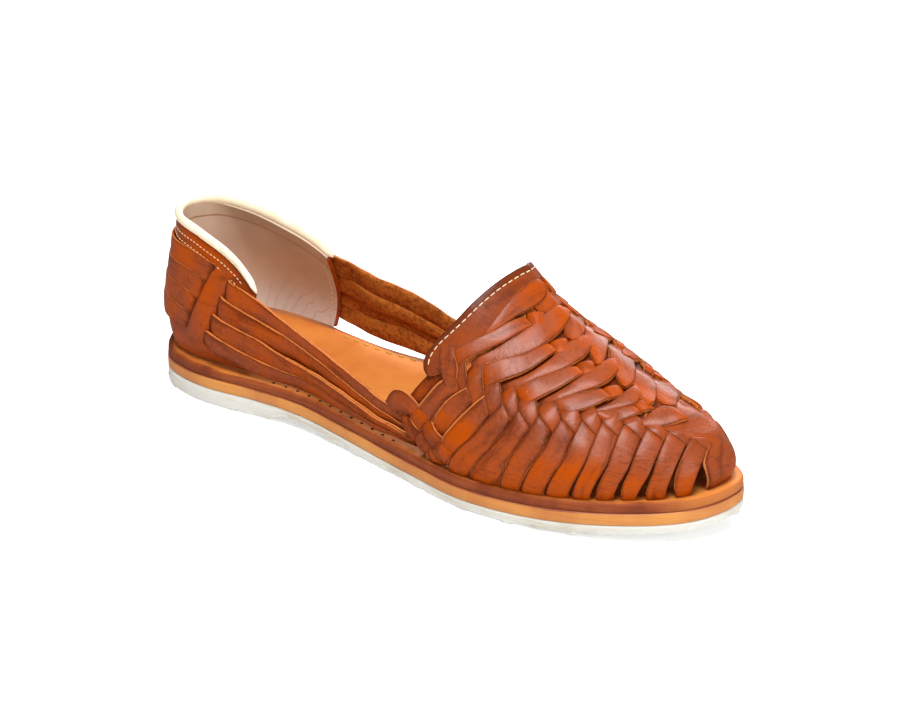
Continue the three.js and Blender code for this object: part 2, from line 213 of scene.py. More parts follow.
class Wire:
    """A node's output. Sums and products of wires add Math nodes; make adds any other node."""

    def __init__(self, tree, socket=None):
        self.tree = tree
        self.socket = socket

    def make(self, kind, inputs, output=0, **settings):
        """A node of a kind, with its settings, then the values or wires of its inputs."""
        node = self.tree.nodes.new(kind)
        for name, value in settings.items():
            setattr(node, name, value)
        for name, value in inputs.items():
            if isinstance(value, Wire):
                self.tree.links.new(value.socket, node.inputs[name])
            else:
                node.inputs[name].default_value = value
        return Wire(self.tree, node.outputs[output])

    def places(self):
        """The places of the piece's points, in metres."""
        return self.make("ShaderNodeTexCoord", {}, "Object")

    def named(self, name, output="Fac"):
        """A value that add_sheet keeps on the mesh."""
        return self.make("ShaderNodeAttribute", {}, output, attribute_name=name)

    def axis(self, number):
        """This wire's x, y or z, for 0, 1 or 2."""
        return self.make("ShaderNodeSeparateXYZ", {"Vector": self}, number)

    def maths(self, operation, *values):
        return self.make("ShaderNodeMath", dict(enumerate(values)), operation=operation)

    def __add__(self, other):
        return self.maths("ADD", self, other)

    def __sub__(self, other):
        return self.maths("SUBTRACT", self, other)

    def __rsub__(self, other):
        return self.maths("SUBTRACT", other, self)

    def __mul__(self, other):
        return self.maths("MULTIPLY", self, other)

    __radd__ = __add__
    __rmul__ = __mul__

    def between(self, low, high):
        """0 below low, 1 above high, eased between."""
        values = {"Value": self, "From Min": low, "From Max": high}
        return self.make("ShaderNodeMapRange", values, interpolation_type="SMOOTHSTEP")

    def tint(self, first, second):
        """The first colour turned to the second by this wire."""
        values = {0: self, 6: first, 7: second}
        return self.make("ShaderNodeMix", values, 2, data_type="RGBA")

    def noise(self, scale, detail=3.0, roughness=0.55, stretch=(1, 1, 1), distortion=0.0):
        """Noise on this wire's places, in metres, stretched along them."""
        laid = self.make("ShaderNodeMapping", {"Vector": self, "Scale": stretch})
        values = {"Vector": laid, "Scale": scale, "Detail": detail, "Roughness": roughness}
        values["Distortion"] = distortion
        return self.make("ShaderNodeTexNoise", values)

    def bump(self, strength, distance):
        values = {"Height": self, "Strength": strength, "Distance": distance}
        return self.make("ShaderNodeBump", values)


def shade(red, green, blue):
    """A colour given in screen values from 0 to 255."""
    parts = [part / 255 for part in (red, green, blue)]
    linear = [p / 12.92 if p <= 0.04045 else ((p + 0.055) / 1.055) ** 2.4 for p in parts]
    return (*linear, 1.0)


def new_material(name, **constants):
    """A material, a wire that its first nodes start from, and its shader, set to the constants."""
    material = bpy.data.materials.new(name)
    material.use_nodes = True
    shader = material.node_tree.nodes["Principled BSDF"]
    for socket, value in constants.items():
        shader.inputs[socket.replace("_", " ")].default_value = value
    return material, Wire(material.node_tree), shader


def feed(shader, **wires):
    """Links wires to the sockets that vary over the surface."""
    for socket, wire in wires.items():
        wire.tree.links.new(wire.socket, shader.inputs[socket.replace("_", " ")])


rubber, start, shader = new_material("crepe_rubber", Roughness=0.8, Specular_IOR_Level=0.3)
place = start.places()
pores = place.noise(900, 4, 0.7)
scuffs = place.noise(60, 4, 0.6, (0.6, 0.6, 3))
streaks = place.noise(240, 3, 0.6, (0.25, 0.25, 2.2))
cream = scuffs.between(0.45, 0.75).tint(shade(202, 200, 192), shade(180, 172, 154))
cream = (streaks.between(0.6, 0.72) * 0.5).tint(cream, shade(190, 178, 156))
cream = (pores.between(0.62, 0.75) * 0.35).tint(cream, shade(176, 162, 140))
feed(shader, Base_Color=cream, Normal=(pores + streaks * 0.8).bump(0.5, 0.0005))

mesh = bmesh.new()
sole_layer(mesh, [
    (1, 2.0, rubber_bottom, 0),
    (0.6, 2.0, rubber_bottom, 0),
    (0.25, 2.0, rubber_bottom, 0),
    (0.06, 1.4, rubber_bottom, 0),
    (0, 0.8, rubber_bottom, 0.1),
    (0, 0.25, rubber_bottom, 0.5),
    (0, 0.05, rubber_bottom, 1.2),
    (0, 0.0, rubber_middle, 0.4),
    (0, 0.0, rubber_top, -0.4),
    (0, 0.3, rubber_top, -0.05),
    (0.06, 0.8, rubber_top, 0),
    (0.5, 1.0, rubber_top, 0),
    (1, 1.0, rubber_top, 0),
], burrs=((4, 0.25), (5, 0.5), (6, 0.2)))
outsole = finish_mesh(mesh, "outsole_rubber", [rubber])
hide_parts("outsole")

# ---- Midsole
# A honey coloured leather layer glued over the rubber, its edge trimmed with it and left
# unpainted, so the fibres show as fine level streaks.

GLUE = 0.3  # between one layer of the sole and the next
MIDSOLE = 4.0


def midsole_bottom(at):
    return rubber_top(at) + 0.02


def midsole_top(at):
    return rubber_top(at) + 2 * GLUE + MIDSOLE - 0.05


honey, start, shader = new_material("honey_edge_leather", Roughness=0.5, Coat_Weight=0.15)
place = start.places()
level = start.named("level")
fibres = place.noise(300, 4, 0.65, (0.12, 0.12, 3.5))
blotches = place.noise(34, 3, 0.6, (1, 1, 0.4))
edge = blotches.between(0.35, 0.7).tint(shade(206, 134, 54), shade(184, 108, 42))
edge = (fibres.between(0.45, 0.75) * 0.55).tint(edge, shade(176, 102, 48))
seam = (level + (blotches - 0.5) * 0.35).between(0.84, 0.96)
edge = (seam * 0.9).tint(edge, shade(128, 50, 18))
feed(shader, Base_Color=edge, Normal=fibres.bump(0.35, 0.0003))


mesh = bmesh.new()
sole_layer(mesh, [
    (1, 1.2, midsole_bottom, 0),
    (0.05, 1.2, midsole_bottom, 0),
    (0, 0.3, midsole_bottom, 0),
    (0, 0.05, midsole_bottom, 0.25),
    (0, 0.0, midsole_bottom, 2.1),
    (0, 0.1, midsole_bottom, 3.2),
    (0, 0.2, midsole_top, -0.35),
    (0, 0.75, midsole_top, 0),
    (0.05, 1.5, midsole_top, 0),
    (1, 1.5, midsole_top, 0),
])
midsole = finish_mesh(mesh, "midsole_leather", [honey])
# Each vertex's share of the layer's height, for the dark line along its top.
layer = midsole.data.attributes.new("level", "FLOAT", "POINT")
for vert, value in zip(midsole.data.vertices, layer.data):
    at = (vert.co.x * 1000 - HEEL[0]) / LENGTH
    bottom = float(midsole_bottom(at))
    value.value = (vert.co.z * 1000 - bottom) / (float(midsole_top(at)) - bottom)
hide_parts("midsole")

# ---- Insole
# Vegetable tanned leather under the foot, its edge dyed red-brown and burnished, its top natural.
# The straps pass through it at the edge. It is sewn down, and lock stitches show at the waist.

INSOLE = 3.3


def insole_bottom(at):
    return midsole_top(at) - 0.03


def insole_top(at):
    return rubber_top(at) + 3 * GLUE + MIDSOLE + INSOLE - 0.3


tan, start, shader = new_material("insole_leather", Roughness=0.6, Specular_IOR_Level=0.2)
place = start.places()
rim = start.named("rim")
mottle = place.noise(45, 4, 0.6)
pores = place.noise(1100, 3, 0.6)
top = mottle.between(0.3, 0.75).tint(shade(206, 126, 56), shade(190, 106, 42))
top = (pores.between(0.55, 0.8) * 0.3).tint(top, shade(196, 118, 60))
fibres = place.noise(300, 4, 0.65, (0.12, 0.12, 3.5))
dyed = mottle.between(0.35, 0.7).tint(shade(146, 70, 28), shade(112, 46, 17))
dyed = (fibres.between(0.4, 0.7) * 0.5).tint(dyed, shade(104, 40, 14))
fore = place.axis(0).between(0.104, 0.121)
dyed = (fore * 0.7).tint(dyed, shade(186, 112, 50))
both = (rim + (mottle - 0.5) * 0.6).between(0.3, 0.65).tint(top, dyed)
feed(shader, Base_Color=both, Normal=(pores + mottle * 2).bump(0.3, 0.0003))

mesh = bmesh.new()
sole_layer(mesh, [
    (1, 2.0, insole_bottom, 0),
    (0.05, 1.2, insole_bottom, 0),
    (0, 0.7, insole_bottom, 0),
    (0, 0.45, insole_bottom, 0.3),
    (0, 0.4, insole_bottom, 1.5),
    (0, 0.5, insole_top, -0.9),
    (0, 0.75, insole_top, -0.35),
    (0, 1.3, insole_top, -0.06),
    (0, 2.0, insole_top, 0),
    (0.06, 2.6, insole_top, 0),
    (0.2, 2.6, insole_top, 0),
    (0.4, 2.6, insole_top, -0.1),
    (0.7, 2.6, insole_top, -0.15),
    (1, 2.6, insole_top, -0.2),
])
insole = finish_mesh(mesh, "insole_leather", [tan])
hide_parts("insole")

# ---- Side straps
# Twelve straps a side rise from the slits in the insole, lean towards the toe and end in the first
# row of plaiting. Each rear tip lies over the next piece of the plait, each front edge under it.

# The last, on which every strap is pulled tight. A row has a station, the inset of the upper's foot
# on the outer and the inner side, the x, y and z of the ridge it climbs to, how full and how
# tent-like its wall is, and how far it swells out above the sole and up to which height.
last_rows = np.array([
    (0, 1.8, 1.8, -2, 0, 95, 1.9, 1, 3, 46),
    (0.05, 2.2, 2.4, 5, 0, 95, 1.9, 1, 2.8, 46),
    (0.1, 2.8, 2.2, 22, 0, 95, 1.9, 1, 2.4, 46),
    (0.16, 4, 1.8, 44, 0, 95, 1.9, 1, 2, 44),
    (0.25, 2.8, -0.8, 68, 0, 96, 2, 1.15, 1.6, 42),
    (0.33, 4.2, 2.2, 86, 0, 96, 2.1, 1.3, 1.6, 40),
    (0.42, 3.2, 4, 108, 2, 96, 2.1, 1.3, 1.6, 36),
    (0.565, 3.6, 4, 142, 6, 87, 1.95, 1.2, 2.4, 30),
    (0.668, 3.4, 3.6, 166, 8, 62.5, 2, 1.3, 2.6, 28),
    (0.792, 3.4, 3.6, 192, 7, 49.3, 2.1, 1.5, 2.4, 26),
    (0.906, 4.6, 4.6, 212, 5, 41.6, 2.1, 1.7, 2, 20),
    (1, 5.4, 5.4, 223, 4, 38.5, 2.2, 1.9, 1.6, 16),
])
outer_inset, inner_inset, ridge_x, ridge_y, ridge_z, fullness, tent, swell, swell_to = (
    curve(last_rows[:, 0], last_rows[:, k]) for k in range(1, 10)
)
SINK = 60  # millimetres below the foot for each unit of a negative rise


def foot_height(at):
    return rubber_top(at) + 4 * GLUE + MIDSOLE + INSOLE


def on_round(t, rise):
    """A point of the last's skin, rise 0 at the sole and 1 on the ridge."""
    t, rise = np.broadcast_arrays(np.asarray(t, float), np.asarray(rise, float))
    up = np.clip(rise, 0, 1)
    at = station(t)
    inset = np.where(t - np.floor(t) < 0.5, outer_inset(at), inner_inset(at))
    foot = plan(t) + inward(t) * inset[..., None]
    ridge = np.stack([ridge_x(at), ridge_y(at)], -1)
    angle = up * math.pi / 2
    height = (ridge_z(at) - foot_height(at)) * np.sin(angle) ** (2 / fullness(at))
    lean = 1 - np.maximum(0, np.cos(angle)) ** (2 / tent(at))
    share = np.minimum(1, height / swell_to(at))
    out = swell(at) * 6.75 * share * (1 - share) ** 2  # at most the swell, at a third of its height
    place = foot + (ridge - foot) * lean[..., None] - inward(t) * out[..., None]
    height = foot_height(at) + height + np.minimum(rise, 0) * SINK
    return np.concatenate([place, height[..., None]], -1)


def rise_of(t, z):
    """The rise at which the last's skin reaches a height."""
    at = station(t)
    climb = np.clip((z - foot_height(at)) / (ridge_z(at) - foot_height(at)), 0, 1)
    return np.arcsin(climb ** (fullness(at) / 2)) * 2 / math.pi


def skin_normal(t, rise):
    """Unit direction out of the last, shared with the other side's near the ridge."""
    step = 0.003
    rise = np.clip(rise, 0, 0.985)

    def side(t):
        round_way = on_round(t + step, rise) - on_round(t - step, rise)
        up_way = on_round(t, rise + step) - on_round(t, np.maximum(rise - step, 0))
        return unit(np.cross(round_way, up_way))

    share = 0.5 * smooth(rise, 0.9, 0.985)[..., None]
    return unit(side(t) * (1 - share) + side(1 - t) * share)


def by_round(t, rise):
    """Places given as on_round takes them."""
    return np.asarray(t, float), np.asarray(rise, float)


def by_length(x, over):
    """Place on the last by length from the heel and over: 0 outer foot, 1 ridge, 2 inner foot."""
    x, over = np.broadcast_arrays(np.asarray(x, float), np.asarray(over, float))
    rise = np.where(over <= 1, over, 2 - over)
    low = np.zeros(x.shape)
    high = np.full(x.shape, 0.5)
    for _ in range(26):
        middle = (low + high) / 2
        t = np.where(over <= 1, middle, 1 - middle)
        short = on_round(t, np.maximum(rise, 0))[..., 0] < x
        low = np.where(short, middle, low)
        high = np.where(short, high, middle)
    return np.where(over <= 1, low, 1 - low), rise


def by_height(side):
    """Places by station and height on one side of the shoe: 1 the outer, -1 the inner."""

    def place(at, z):
        at = np.asarray(at, float)
        t = np.sign(at) * round_of(np.abs(at)) * side
        return t, rise_of(t, z)

    return place


def strap_section(across, raw):
    """Points round a strap: share of its width, height in thicknesses, cut edge and flesh side."""
    middle = [(s, 0, 0, 0) for s in np.linspace(raw + 0.035, 0.94, across)]
    over = [(0, -0.5, 1, 0), (0.004, -0.17, 1, 0), (raw, -0.02, min(1, 0.3 + raw * 9), 0), *middle]
    over += [(0.975, -0.02, 0.4, 0), (0.996, -0.17, 1, 0), (1, -0.5, 1, 0)]
    under = [(0.99, -0.92, 0.6, 0.6), *((row[0], -1, 0, 1) for row in reversed(middle))]
    return np.array([*over, *under, (0.01, -0.92, 0.6, 0.6), (0, -0.5, 1, 0)])


hand = np.random.default_rng(11)
strap_count = 0


def strap(mesh, rows, place=by_length, thick=1.6, crown=0.35, steps=22, across=7, tone=None,
          wander=0.12, raw=0.025, extra_shade=0.0, mirror=False):
    """One leather strap. Rows hold its two edges' places and how high each stands on the last.
    Crown, tone and the added shade may be lists, spread evenly along it. A high tone lays a painted
    sheen on the leather, and the added shade is painted shade."""
    global strap_count
    strap_count += 1
    rows = np.array(rows, float)
    if mirror:
        rows[:, 1] = 2 - rows[:, 1]
        rows[:, 3] = 2 - rows[:, 3]
        rows = rows[:, [2, 3, 0, 1, 5, 4]]
    t, rise = place((rows[:, 0] + rows[:, 2]) / 2, (rows[:, 1] + rows[:, 3]) / 2)
    hop = np.linalg.norm(np.diff(on_round(t, rise), axis=0), axis=-1) + 0.3
    at = np.concatenate([[0], np.cumsum(hop)])
    u = np.linspace(0, at[-1], steps)
    wave = hand.uniform(0, TURN, 4)
    read = [curve(at, rows[:, k])(u)[:, None] for k in range(6)]
    lift_a = read[4] + wander * np.sin(u * 0.55 + wave[0])[:, None]
    lift_b = read[5] + wander * np.sin(u * 0.47 + wave[1])[:, None]
    section = strap_section(across, raw)
    s, height, cut, flesh = (column[None, :] for column in section.T)
    t, rise = place(read[0] + (read[2] - read[0]) * s, read[1] + (read[3] - read[1]) * s)
    skin = on_round(t, rise)
    normal = skin_normal(t, rise)

    def along(value):
        spread = np.linspace(0, 1, np.size(value))
        return np.interp(u / at[-1], spread, np.atleast_1d(value))[:, None]

    hump = along(crown) * (4 * s * (1 - s)) ** 0.7
    lift = lift_a + (lift_b - lift_a) * s + hump + thick * height
    points = skin + normal * lift[..., None]
    broad = np.linalg.norm(points[:, across + 4] - points[:, 1], axis=-1)[:, None]
    ones = np.ones_like(lift)
    lay = np.stack([u[:, None] * ones, broad * s, ones * strap_count * 41.0], -1) / 1000
    if tone is None:
        tone = hand.uniform(-1, 1)
    # Painted shade where the strap sinks under others, plus the added shade; towards both edges the
    # darkening is partly painted shade and partly dye
    tuck = smooth(-(lift_a + (lift_b - lift_a) * s), 0.3, 1.3) + along(extra_shade)
    tuck = tuck + 0.5 * np.abs(2 * s - 1) ** 4
    add_sheet(mesh, points, cut=cut * ones, flesh=flesh * ones, lay=lay,
              tone=along(tone) * ones, tuck=tuck * ones)
    return points


def leather(name, face, deep, painted_sheen, fold=0.0):
    """Strap leather: dyed and waxed face, pale ragged cut edges, suede flesh side. Its lay runs
    along and across the strap. A high tone turns the face to a pinkish colour, which is a painted
    sheen. The leather is darkened as painted shade where it goes under another piece. Towards both
    edges the darkening is partly painted shade and partly dye."""
    gloss = 0.34
    coat = 0.26
    made, start, shader = new_material(name, Specular_IOR_Level=0.1, Coat_Roughness=0.26)
    lay = start.named("lay", "Vector")
    cut, flesh, tone, tuck = (start.named(kept) for kept in ("cut", "flesh", "tone", "tuck"))
    cloud = lay.noise(55, 3, 0.55)
    streak = lay.noise(130, 4, 0.6, (0.35, 2.2, 1))
    fleck = lay.noise(620, 4, 0.65)
    crease = lay.noise(240, 4, 0.6, (2.6, 0.5, 1), 0.6)
    hair = lay.noise(1500, 2, 0.6)
    # Painted sheen: the tone and the cloud turn the face to the pinkish colour, and the same mask
    # sets the wax coat
    polish_and_sheen = (cloud + tone * 0.2).between(0.32, 0.7)
    colour = polish_and_sheen.tint(face, painted_sheen)
    colour = (streak.between(0.5, 0.8) * 0.6).tint(colour, deep)
    colour = (fleck.between(0.56, 0.75) * 0.3).tint(colour, deep)
    lines = crease.between(0.47, 0.5) - crease.between(0.5, 0.53)
    lines = lines * cloud.between(0.42, 0.62)
    # The crease lines are painted a little darker as shade, besides their bump
    colour = (lines * 0.16).tint(colour, deep)
    # Painted shade under the laps, plus the added shade, with partly dye at the edges, broken up by
    # the grain
    dark = (tuck + (streak - 0.5) * 0.9 + (fleck - 0.5) * 0.7).between(0.05, 0.95)
    colour = (dark * 0.8).tint(colour, deep)
    raw = (cut + (streak - 0.5) * 1.0 + (fleck - 0.5) * 0.9).between(0.55, 0.95)
    colour = (cut.between(0.0, 0.3) * 0.6).tint(colour, deep)
    colour = (raw * 0.85).tint(colour, shade(196, 112, 54))
    bumps = hair * 0.35 + fleck * 0.75 + lines * -0.5 + cloud * 1.0 + flesh * hair * 1.6
    if fold:
        turned = 1 - lay.axis(1).between(fold - 0.0003, fold + 0.0002)
        colour = (turned * 0.5).tint(colour, deep)
        bumps = bumps + turned * 1.5
    back = (fleck + streak * 0.6).between(0.55, 0.95)
    back = back.tint(shade(122, 58, 14), shade(178, 98, 34))
    colour = flesh.between(0.3, 0.7).tint(colour, back)
    rough = (cloud - 0.5) * 0.25 + (fleck - 0.5) * 0.35 + gloss
    rough = rough + (raw + flesh).between(0.1, 0.9) * 0.42
    waxed = polish_and_sheen * coat * (1 - tuck.between(0.0, 0.8)) * (1 - flesh)
    feed(shader, Base_Color=colour, Roughness=rough, Coat_Weight=waxed,
         Normal=bumps.bump(0.6, 0.0004))
    return made


# Orange face, dark brown, and a pinkish colour that paints the sheen
cognac = leather("cognac_leather", shade(158, 64, 2), shade(70, 22, 3), shade(138, 61, 25))


def finish_straps(mesh, name):
    return finish_mesh(mesh, name, [cognac])


# The line between each strap and the next: lengths from the heel, by place over the foot. Then half
# the gap on it at the sole, the straps' rear tips, and the notches between them.
strap_edges = [
    {0.14: 147.9, 0.23: 152, 0.27: 154.4},
    {0.1: 153.4, 0.12: 154.3, 0.26: 160.6, 0.29: 161.5},
    {0: 156.6, 0.04: 158.1, 0.09: 160.3, 0.17: 165.3, 0.26: 168.4, 0.3: 168.9},
    {0: 165.6, 0.1: 170.2, 0.19: 174.6, 0.27: 176.6, 0.31: 177},
    {0: 177.8, 0.1: 180.6, 0.19: 182.2, 0.28: 184.1, 0.32: 184.8},
    {0: 185.8, 0.1: 188.4, 0.18: 190.4, 0.29: 192.4, 0.33: 192.2},
    {0: 194.2, 0.1: 196.6, 0.18: 198.5, 0.32: 200, 0.36: 199.8},
    {0: 202.5, 0.1: 204.4, 0.21: 205.9, 0.35: 206.5, 0.39: 206.3},
    {0: 209.5, 0.12: 211.4, 0.23: 212.6, 0.36: 213.4, 0.41: 212.6},
    {0: 216.7, 0.12: 218.2, 0.23: 219.3, 0.39: 219.3, 0.43: 218.8},
    {0: 223.5, 0.12: 225.2, 0.22: 226, 0.42: 225.6, 0.45: 225.5},
    {0: 231.5, 0.12: 232.1, 0.24: 232.2, 0.4: 232.2, 0.43: 231.9},
    {0: 236.8, 0.1: 237.6, 0.21: 237.9, 0.3: 237.6, 0.34: 237.2},
]
strap_gap = [0.2, 0.2, 0.2, 0.2, 0.25, 0.3, 0.35, 0.6, 0.9, 1.1, 1.4, 1.3, 0.4]
tips = [
    (157.7, 0.32), (164.6, 0.343), (171.9, 0.353), (178.2, 0.367), (185.5, 0.383), (193, 0.413),
    (199.3, 0.448), (205.5, 0.475), (211.9, 0.51), (219, 0.53), (225.5, 0.533), (232.3, 0.485),
    (237.9, 0.42),
]
notches = [
    (155, 0.275), (161.5, 0.287), (169.1, 0.293), (177, 0.31), (184.7, 0.317), (191.7, 0.338),
    (199.3, 0.368), (206.1, 0.39), (212.4, 0.42), (218.9, 0.447), (225.6, 0.453), (232, 0.427),
    (237.6, 0.343),
]


def read_line(line, at):
    """The value at a place on a line kept as places and values."""
    return float(curve(list(line), list(line.values()))(at))


def edge_gap(k, over):
    """Half the gap between two straps, less the higher they rise."""
    return strap_gap[k] * max(0.25, 1 - over / 0.28)


def between(first, second, share):
    return tuple(a + (b - a) * share for a, b in zip(first, second))


mesh = bmesh.new()
for mirror in (False, True):
    for k in range(12):
        # The first two come out from under the straps behind them, above the sole.
        foot = 0.115 if k == 0 else 0.06 if k == 1 else -0.02
        marks = [over for over in (-0.02, 0.0, 0.06, 0.12, 0.18, 0.24) if over >= foot]
        rows = []
        for over in marks:
            up = max(over, 0)
            rear = read_line(strap_edges[k], up) + edge_gap(k, up)
            front = read_line(strap_edges[k + 1], up) - edge_gap(k + 1, up)
            lift = 0.9 - 1.2 * max(0, over - 0.1)
            if k < 2 and over == marks[0]:
                lift = -0.9
            rows.append((rear, over, front, over, lift, lift - 0.1))
        tip, notch = tips[k], notches[k + 1]
        rear = between(tip, (read_line(strap_edges[k], 0.24), 0.24), 0.4)
        front = between(notch, (read_line(strap_edges[k + 1], 0.24), 0.24), 0.4)
        rows.append((*rear, *front, 1.0, 0.3))
        rows.append((*tip, *notch, 0.9, -0.1))
        far = between(notch, tips[k + 1], 0.5)
        rows.append((tip[0] + 0.6, tip[1] + 0.025, *far, -0.9, -1.6))
        # The tone paints a sheen on each strap's shoulder over a deeper orange foot, and the added
        # shade is painted shade, darkest at the tip that goes under the plait
        strap(mesh, rows, steps=30, across=9, crown=0.3, tone=(-1.4, -1.0, 0.5, 1.4, 0.4),
              raw=0.08 if k < 2 else 0.025, mirror=mirror,
              extra_shade=(0.1, 0.0, 0.05, 0.45, 0.45) if k < 6 else (0.15, 0.0, 0.0, 0.05, 0.2))
side_straps = finish_straps(mesh, "side_straps")
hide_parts("upper")

# ---- First row of the plait
# Short lengths of strap that cross the side straps: out from under one tip, over the next strap,
# and in under the toe piece or the long straps above.

mesh = bmesh.new()
for mirror in (False, True):
    for k in range(-1, 12):
        left, low, right = tips[k], notches[k + 1], tips[k + 1]
        if k < 0:
            left, low = (152.4, 0.315), (155.0, 0.288)
        peak = (right[0] - 3.6, right[1] + 0.062)
        rows = [
            (low[0] + 2.2, low[1] - 0.035, right[0] + 2.0, right[1] - 0.05, -1.6, -1.6),
            (*low, *right, 0.1, -0.3),
            (*between(left, low, 0.5), *between(peak, right, 0.45), 0.9, 0.5),
            (*left, *peak, 0.8, 0.5),
            (left[0] - 2.5, left[1] + 0.035, peak[0] - 3.0, peak[1] + 0.035, -1.0, -0.9),
        ]
        # The tone paints a sheen on the middle of each piece, and the added shade is painted shade,
        # darkest on the pieces nearest the throat band
        strap(mesh, rows, steps=16, crown=0.28, tone=(0.4, 1.2, 0.2), raw=0.05 if k < 3 else 0.02,
              extra_shade=max(0.0, 0.34 - 0.04 * k), mirror=mirror)
finish_straps(mesh, "plait_row")

# ---- Toe piece
# One wide piece drawn over the toe, its edges tucked round the first and last side straps.

# The piece's edge by place over the foot: its length from the heel and its lift.
cap_edge = {
    -0.02: (239, 0.7), 0: (239, 0.7), 0.08: (239.9, 0.7), 0.16: (239.4, 0.7),
    0.25: (238, 0.7), 0.34: (237.3, 0.7), 0.4: (236.8, 0.75), 0.47: (233, 0.75),
    0.51: (227, 0.6), 0.54: (220, 0.3), 0.62: (216, -0.3), 0.75: (214.5, -0.5),
    0.88: (213, -0.5), 1: (211.5, -0.5),
}
mesh = bmesh.new()
rows = []
for over, (x, lift) in cap_edge.items():
    t = float(by_length(x, max(over, 0))[0])
    rows.append((t, over, 1 - t, over, lift, lift))
strap(mesh, rows, place=by_round, steps=60, across=44, crown=0.0, tone=0.4, thick=1.2, wander=0)
finish_straps(mesh, "toe_piece")

# ---- Under layer of the weave
# The ends of the straps lie flat on each other inside. Here they are one sheet under the plait.

mesh = bmesh.new()
rows = []
for over in np.linspace(0.24, 1.0, 13):
    t = float(by_length(150.6 + 10.4 * over, over)[0])
    rows.append((t, over, 1 - t, over, -1.25, -1.25))
strap(mesh, rows, place=by_round, steps=40, across=70, crown=0.0, thick=0.5, tone=-0.5, wander=0)
finish_straps(mesh, "under_layer")

# ---- Straps behind the side straps
# The quarter straps' ends plait with three slim straps between the sole and the throat band.

mesh = bmesh.new()
diamonds = [
    [(133.8, 0.09), (137.2, 0.115), (143, 0.09), (139.2, 0.04)],
    [(140.6, 0.05), (143.4, 0.09), (150.1, 0.06), (144.4, 0)],
    [(145.8, 0), (150.2, 0.06), (155.5, 0.01), (150.1, -0.01)],
    [(137.2, 0.12), (140.8, 0.155), (147.5, 0.145), (143.4, 0.09)],
    [(143.9, 0.1), (147.9, 0.14), (154.2, 0.115), (150.1, 0.06)],
    [(150.6, 0.07), (154.8, 0.11), (160, 0.08), (156, 0.01)],
]
# The loop that ends the topmost quarter strap, the two slim straps and the tab that holds them.
loop_rows = [
    (124, 0.104, 126.5, 0.085, -1, -1), (127.8, 0.15, 130.4, 0.098, 0.6, 0.4),
    (132.6, 0.17, 134.6, 0.11, 1.3, 0.9), (138, 0.166, 139.2, 0.122, 1.1, 0.8),
    (142.8, 0.146, 143.2, 0.122, -0.6, -0.6),
]
inner_rows = [
    (133, 0.12, 139.5, 0.12, -0.9, -0.9), (134.5, 0.153, 140.3, 0.157, -0.6, -0.6),
    (139.7, 0.233, 143.8, 0.21, -0.5, -0.5), (143.2, 0.28, 147.5, 0.267, -0.7, -0.7),
    (150, 0.37, 154, 0.34, -1.4, -1.6),
]
outer_rows = [
    (138.6, 0.13, 146.6, 0.11, -0.9, -0.9), (140.4, 0.157, 147.7, 0.14, 0.3, 0.3),
    (143.9, 0.21, 151.4, 0.22, 0.7, 0.6), (147.5, 0.267, 154.2, 0.268, 0.9, 0.3),
    (151.6, 0.312, 155.6, 0.288, 0.8, -0.1), (153.4, 0.34, 157.6, 0.315, -0.9, -1.4),
]
tab_rows = [
    (142.5, 0.362, 146.8, 0.4, -0.6, -0.6), (144.3, 0.338, 149, 0.375, 1.2, 1.2),
    (146.6, 0.302, 152.5, 0.347, 2, 1.9), (149.2, 0.27, 153.6, 0.305, 1.5, 1.2),
    (151, 0.25, 155, 0.285, -0.4, -0.4),
]
for mirror in (False, True):
    for k, (left, peak, right, low) in enumerate(diamonds):
        turned = k % 2 == 0
        a, b, c, d = (left, peak, right, low) if turned else (low, left, peak, right)
        rows = [
            (*between(d, a, 1.25), *between(c, b, 1.25), -0.9, -0.9),
            (*a, *b, 0.2, 0.2),
            (*between(a, d, 0.5), *between(b, c, 0.5), 1.0, 1.0),
            (*d, *c, 0.2, 0.2),
            (*between(a, d, 1.25), *between(b, c, 1.25), -0.9, -0.9),
        ]
        strap(mesh, rows, steps=14, crown=0.4, extra_shade=0.25, mirror=mirror)
    strap(mesh, loop_rows, steps=18, crown=0.5, tone=0.8, extra_shade=0.2, mirror=mirror)
    strap(mesh, inner_rows, tone=0.5, extra_shade=0.5, mirror=mirror)
    strap(mesh, outer_rows, tone=0.4, raw=0.12, extra_shade=0.15, mirror=mirror)
    strap(mesh, tab_rows, tone=0.9, crown=0.3, extra_shade=0.2, mirror=mirror)
finish_straps(mesh, "rear_plait")

# ---- Long flat straps
# Straps from the plait to the instep, each lying over the tails of the leaf straps behind it.

